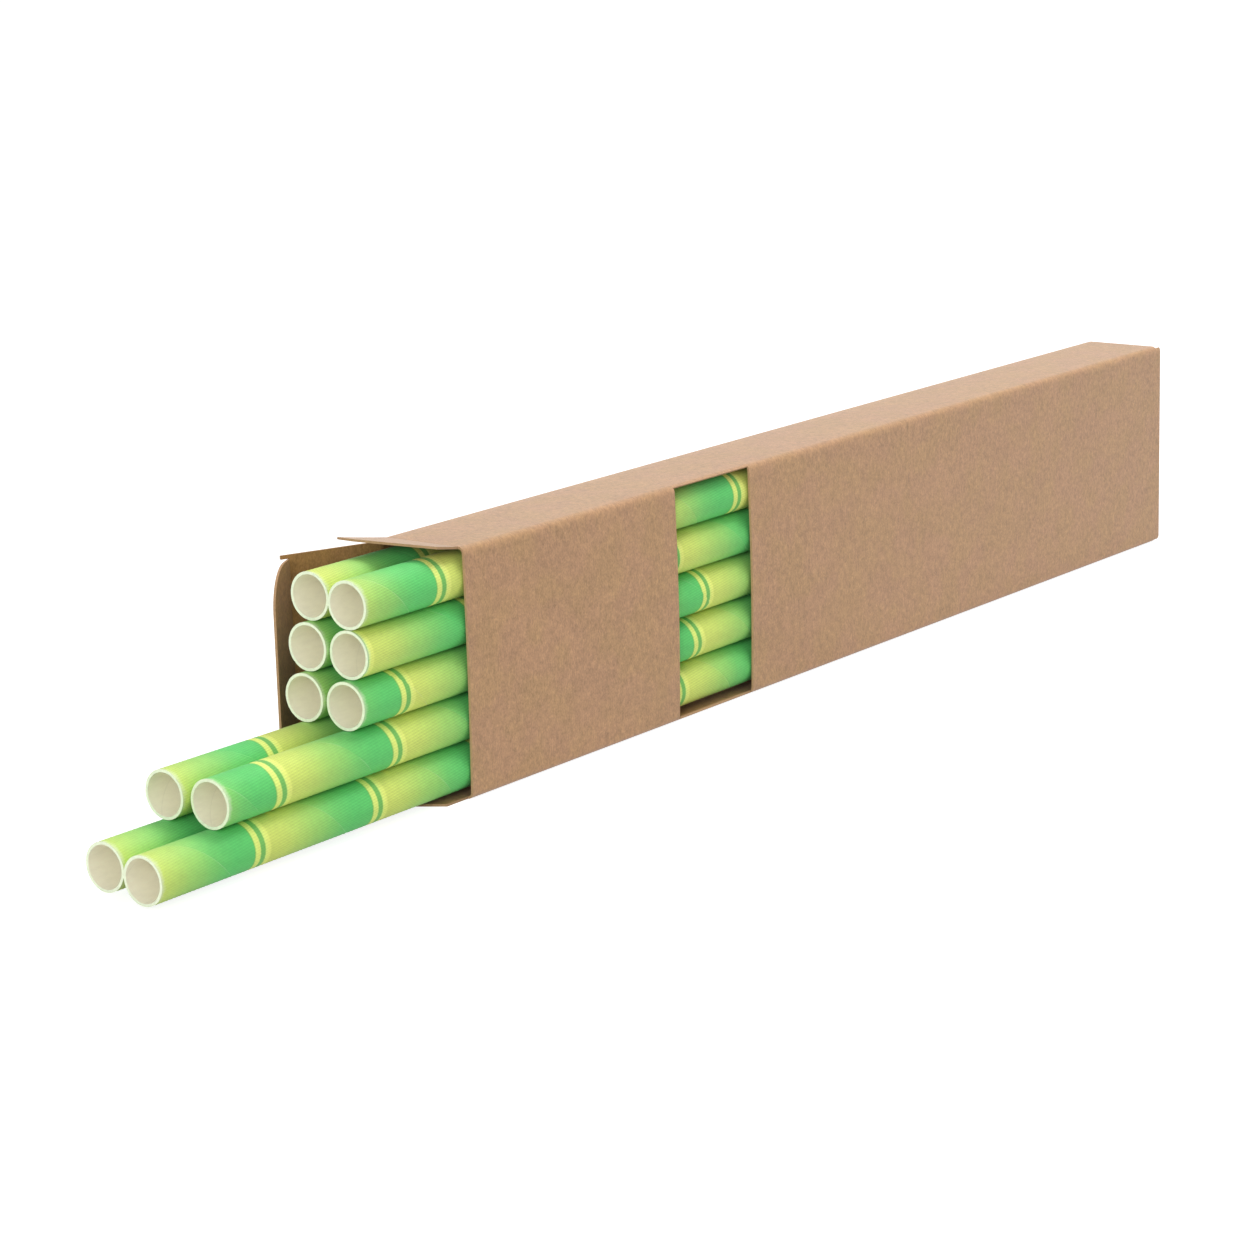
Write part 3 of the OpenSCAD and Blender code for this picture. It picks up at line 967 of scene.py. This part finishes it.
def finish_straw_tree(tree, given, mesh, is_outer, is_bore):
    """Adds the loose fibres of the cut ends and the three papers."""
    is_cut = 1.0 - maths("MAXIMUM", is_outer, is_bore)
    seed = given("Seed")
    points = add_node(tree, "GeometryNodeDistributePointsOnFaces", {
        "Mesh": mesh, "Selection": is_cut, "Density": 3.2e6, "Seed": seed}).outputs
    fibre = add_node(tree, "GeometryNodeMeshCone", {
        "Vertices": 4, "Radius Top": 0.004 * MM, "Radius Bottom": 0.022 * MM,
        "Depth": given("Fibre length")})
    tilt = add_node(tree, "FunctionNodeRandomValue", {
        0: (-0.9, -0.9, -0.9), 1: (0.9, 0.9, 0.9), "Seed": seed}, data_type="FLOAT_VECTOR").outputs[0]
    heading = moved(points["Normal"], tilt, 0.8)
    lean = add_node(tree, "FunctionNodeAlignRotationToVector", {"Vector": heading}, axis="Z")
    size = add_node(tree, "FunctionNodeRandomValue", {2: 0.3, 3: 1.0, "Seed": seed}, data_type="FLOAT")
    fibres = add_node(tree, "GeometryNodeInstanceOnPoints", {
        "Points": points["Points"], "Instance": fibre.outputs["Mesh"], "Rotation": lean.outputs[0],
        "Scale": size.outputs[1]})
    fibres = add_node(tree, "GeometryNodeRealizeInstances", {"Geometry": fibres.outputs[0]})

    def papered(geometry, paper, faces=True):
        inputs = {"Geometry": geometry, "Selection": faces, "Material": given(paper)}
        return add_node(tree, "GeometryNodeSetMaterial", inputs).outputs[0]

    both = add_node(tree, "GeometryNodeJoinGeometry")
    connect(papered(fibres.outputs[0], "Cut paper"), both.inputs[0])
    for paper, faces in (("Cut paper", is_cut), ("Inner paper", is_bore), ("Printed paper", is_outer)):
        mesh = papered(mesh, paper, faces)
    connect(mesh, both.inputs[0])
    smooth = add_node(tree, "GeometryNodeSetShadeSmooth", {"Geometry": both.outputs[0]})
    clean = add_node(tree, "GeometryNodeRemoveAttribute", {"Geometry": smooth.outputs[0], "Name": "row"})
    connect(clean.outputs[0], tree.nodes.new("NodeGroupOutput").inputs[0])


# Each straw: its solid, its first printed node from the near end, how far that leans and the stretch of the
# print from node to node (mm), and its seam's turn
STRAW_PRINTS = (
    ("straw_front_1", 21.6, 0.3, 0.05, 0.025), ("straw_front_2", 11.95, 0.55, 0.0, 0.33),
    ("straw_front_3", 10.2, 0.25, 0.13, 0.005), ("straw_front_4", -0.5, 0.1, 0.35, 0.62),
    ("straw_front_5", 18.75, 0.3, 0.17, 0.19), ("straw_rear_1", 21.0, 0.2, 0.1, 0.45),
    ("straw_rear_2", 21.1, 0.0, 0.1, 0.775), ("straw_rear_3", 15.5, 0.3, 0.0, 0.10),
    ("straw_rear_4", 14.5, 0.1, 0.2, 0.88), ("straw_rear_5", 25.0, 0.3, 0.05, 0.55),
)


def straw_axis(node, diameter):
    """Near end of a straw's axis, its slope and its length, from the solid's box."""
    low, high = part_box(node)
    run = high[0] - low[0]
    rise = high[2] - low[2] - diameter
    climbs = "front" in node
    start_z = low[2] + diameter / 2 + (0.0 if climbs else rise)
    slope = (rise if climbs else -rise) / run
    return Vector((low[0], (low[1] + high[1]) / 2, start_z)), slope, math.hypot(run, rise)


def roll_straw(tree, straw_print, seed, straws, papers):
    """One straw as a plain mesh."""
    node, first_ring, lean, stretch, seam_turn = straw_print
    start, slope, run = straw_axis(node, straws.diameter)
    raw = add_object("paper_" + node + "_raw", bpy.data.meshes.new("raw"))
    modifier = raw.modifiers.new("Wound paper straw", "NODES")
    modifier.node_group = tree
    values = {name: getattr(straws, name.lower().replace(" ", "_")) for name in SHARED_SIZES + SHARED_COUNTS}
    values |= dict(zip(PAPERS, papers))
    values |= {"Start": start, "Slope": slope, "Length": run, "Seam turn": seam_turn, "Seed": seed,
               "Ring pitch": straws.ring_pitch + stretch * MM, "First ring": first_ring * MM,
               "Ring lean": lean * MM}
    for item in tree.interface.items_tree:
        if item.in_out == "INPUT":
            modifier[item.identifier] = values[item.name]
    graph = bpy.context.evaluated_depsgraph_get()
    mesh = bpy.data.meshes.new_from_object(raw.evaluated_get(graph))
    raw.modifiers.remove(modifier)
    bpy.data.objects.remove(raw)
    mesh.name = "paper_" + node
    mesh.set_sharp_from_angle(angle=math.radians(40))
    return add_object(mesh.name, mesh)


class STRAWCARTON_OT_card(bpy.types.Operator):
    """Fold the carton from one sheet of kraft card"""
    bl_idname = "strawcarton.card"
    bl_label = "Fold carton"

    def execute(self, context):
        scene = context.scene
        carton = fold_carton(scene.straw_carton_card, carton_materials(scene.straw_carton_colours))
        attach(carton, "carton_and_straws")
        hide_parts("carton")
        return {"FINISHED"}


class STRAWCARTON_OT_flaps(bpy.types.Operator):
    """Fold the loose flaps at the open mouth"""
    bl_idname = "strawcarton.flaps"
    bl_label = "Fold flaps"

    def execute(self, context):
        card = context.scene.straw_carton_card
        materials = carton_materials(context.scene.straw_carton_colours)
        flaps = fold_dust_flaps(card, materials)
        flaps += [fold_tuck_flap(card, materials), fold_tuck_tab(card, materials)]
        for flap, node in flaps:
            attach(flap, node)
            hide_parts(node)
        return {"FINISHED"}


class STRAWCARTON_OT_straws(bpy.types.Operator):
    """Roll the ten printed paper straws"""
    bl_idname = "strawcarton.straws"
    bl_label = "Roll straws"

    def execute(self, context):
        straws, colours = context.scene.straw_carton_straws, context.scene.straw_carton_colours
        papers = (printed_paper(straws, colours),
                  bare_paper("inner paper", tuple(colours.inner_paper), 0.05, straws.bore_seam_pitch,
                             straws.ring_pitch),
                  bare_paper("cut paper", tuple(colours.cut_paper), 0.12))
        tree = straw_tree()
        for seed, straw_print in enumerate(STRAW_PRINTS, 1):
            straw = roll_straw(tree, straw_print, seed, straws, papers)
            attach(straw, "carton_and_straws")
            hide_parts(straw_print[0])
        return {"FINISHED"}


FLOOR_DROP = 0.02 * MM  # keeps the floor clear of the carton's bottom face
WHITE = (1.0, 1.0, 1.0, 1.0)
FLOOR_UNSEEN = (0.7, 0.7, 0.7)
FLOOR_SEEN = (0.4, 0.4, 0.4)
FLOOR_GLOW = 0.86  # with the seen colour this makes a lit floor just white


def backdrop_mask(tree):
    """1 for what the camera sees directly or in a gloss or through glass."""
    rays = add_node(tree, "ShaderNodeLightPath").outputs
    seen, glossy, through = (Number(rays[f"Is {kind} Ray"]) for kind in ("Camera", "Glossy", "Transmission"))
    return maths("MAXIMUM", maths("MAXIMUM", seen, glossy), through)


def build_floor(size):
    """Plain pale floor that keeps the object's shadow."""
    half = size / 2
    corners = [(x, y, -FLOOR_DROP) for x, y in ((-half, -half), (half, -half), (half, half), (-half, half))]
    mesh = bpy.data.meshes.new("floor")
    mesh.from_pydata(corners, [], [(0, 1, 2, 3)])
    material = bpy.data.materials.new("pale floor")
    material.use_nodes = True
    tree = material.node_tree
    tree.nodes.clear()
    seen = backdrop_mask(tree)
    diffuse = add_node(tree, "ShaderNodeBsdfDiffuse", {
        "Color": blend_colours(tree, seen, FLOOR_UNSEEN, FLOOR_SEEN)})
    glow = add_node(tree, "ShaderNodeEmission", {"Color": WHITE, "Strength": seen * FLOOR_GLOW})
    both = add_node(tree, "ShaderNodeAddShader", {0: diffuse.outputs[0], 1: glow.outputs[0]})
    add_node(tree, "ShaderNodeOutputMaterial", {"Surface": both.outputs[0]})
    mesh.materials.append(material)
    add_object("floor", mesh)


def build_sky(strength):
    """Even light from all round, and a white background for the camera."""
    world = bpy.data.worlds.new("studio")
    bpy.context.scene.world = world
    world.use_nodes = True
    tree = world.node_tree
    tree.nodes.clear()
    level = add_node(tree, "ShaderNodeMix", {0: backdrop_mask(tree), 2: strength, 3: 1.0}, data_type="FLOAT")
    background = add_node(tree, "ShaderNodeBackground", {"Color": WHITE, "Strength": level.outputs[0]})
    add_node(tree, "ShaderNodeOutputWorld", {"Surface": background.outputs[0]})


def add_lamp(name, power, size, place):
    """A soft square lamp that faces the carton's middle."""
    lamp = bpy.data.lights.new(name, "AREA")
    lamp.energy = power
    lamp.size = size
    obj = add_object(name, lamp)
    obj.location = place
    obj.rotation_euler = (-Vector(place)).to_track_quat("-Z", "Y").to_euler()


def add_camera(stage):
    """Camera at the photograph's view."""
    data = bpy.data.cameras.new("camera")
    data.lens = stage.lens
    data.sensor_width = 36.0
    data.clip_start = 0.01
    data.clip_end = 20.0
    camera = add_object("camera", data)
    heading, up = Vector(stage.camera_heading).normalized(), Vector(stage.camera_up).normalized()
    turn = Matrix((heading.cross(up), up, -heading)).transposed().to_4x4()
    camera.matrix_world = Matrix.Translation(stage.camera_place) @ turn
    bpy.context.scene.camera = camera


class STRAWCARTON_OT_stage(bpy.types.Operator):
    """Set the camera, lamps and floor"""
    bl_idname = "strawcarton.stage"
    bl_label = "Set stage"

    def execute(self, context):
        stage = context.scene.straw_carton_stage
        build_floor(stage.floor_size)
        build_sky(stage.sky)
        add_lamp("key lamp", stage.key, size=0.8, place=(0.5, -0.15, 1.35))
        add_lamp("fill lamp", stage.fill, size=1.0, place=(-1.93, -0.66, 0.58))
        add_camera(stage)
        context.scene.view_settings.view_transform = "Standard"
        return {"FINISHED"}


OPERATORS = (STRAWCARTON_OT_card, STRAWCARTON_OT_flaps, STRAWCARTON_OT_straws, STRAWCARTON_OT_stage)
GROUPS = {
    "straw_carton_card": StrawCartonCard,
    "straw_carton_straws": StrawCartonStraws,
    "straw_carton_colours": StrawCartonColours,
    "straw_carton_stage": StrawCartonStage,
}


class STRAWCARTON_PT_panel(bpy.types.Panel):
    """Sizes, colours and buttons of the straw carton"""
    bl_idname = "STRAWCARTON_PT_panel"
    bl_label = "Straw carton"
    bl_space_type = "VIEW_3D"
    bl_region_type = "UI"
    bl_category = "Straw carton"

    def draw(self, context):
        for group_name in GROUPS:
            box = self.layout.box()
            group = getattr(context.scene, group_name)
            for key in group.bl_rna.properties.keys():
                if key not in ("rna_type", "name"):
                    box.prop(group, key)
        for operator in OPERATORS:
            self.layout.operator(operator.bl_idname)


CLASSES = (*GROUPS.values(), *OPERATORS, STRAWCARTON_PT_panel)


def register():
    for cls in CLASSES:
        bpy.utils.register_class(cls)
    for name, group in GROUPS.items():
        setattr(bpy.types.Scene, name, bpy.props.PointerProperty(type=group))


def unregister():
    for name in GROUPS:
        delattr(bpy.types.Scene, name)
    for cls in reversed(CLASSES):
        bpy.utils.unregister_class(cls)


def main():
    register()
    bpy.ops.strawcarton.card()
    bpy.ops.strawcarton.flaps()
    bpy.ops.strawcarton.straws()
    bpy.ops.strawcarton.stage()


if __name__ == "__main__":
    main()
